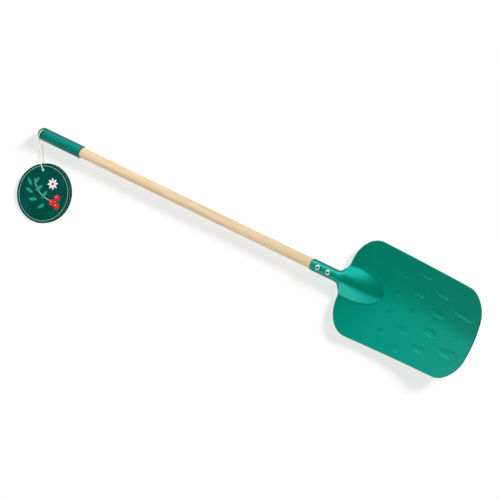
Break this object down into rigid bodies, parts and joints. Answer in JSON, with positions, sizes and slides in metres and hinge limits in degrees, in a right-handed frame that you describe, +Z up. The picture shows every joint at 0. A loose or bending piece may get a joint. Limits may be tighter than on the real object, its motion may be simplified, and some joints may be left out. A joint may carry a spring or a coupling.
{
  "type": "toy garden spade",
  "caption": "Child's garden spade: shallow pressed steel blade with a rolled socket, wooden dowel handle, domed plastic grip and a round card tag on a string.",
  "frame": {"origin": "centre of the footprint of the spade without its tag, on the surface it lies on", "axes": "+X along the handle towards the tip of the blade, +Z up out of the hollow of the blade, +Y to the left seen from the grip"},
  "size_m": [0.7708, 0.1977, 0.0243],
  "materials": {
    "blade_paint": "satin",
    "pale_wood": "satin",
    "grip_plastic": "matte",
    "bright_steel": "polished",
    "dark_card": "satin",
    "pale_cord": "matte"
  },
  "bodies": {
    "root": {"blade": "blade_paint", "handle_dowel": "pale_wood", "grip_sleeve": "grip_plastic", "screw_rear": "bright_steel", "screw_front": "bright_steel", "tag_front": "dark_card", "tag_rear": "dark_card", "tag_string": "pale_cord", "string_knot": "pale_cord"}
  },
  "joints": []
}
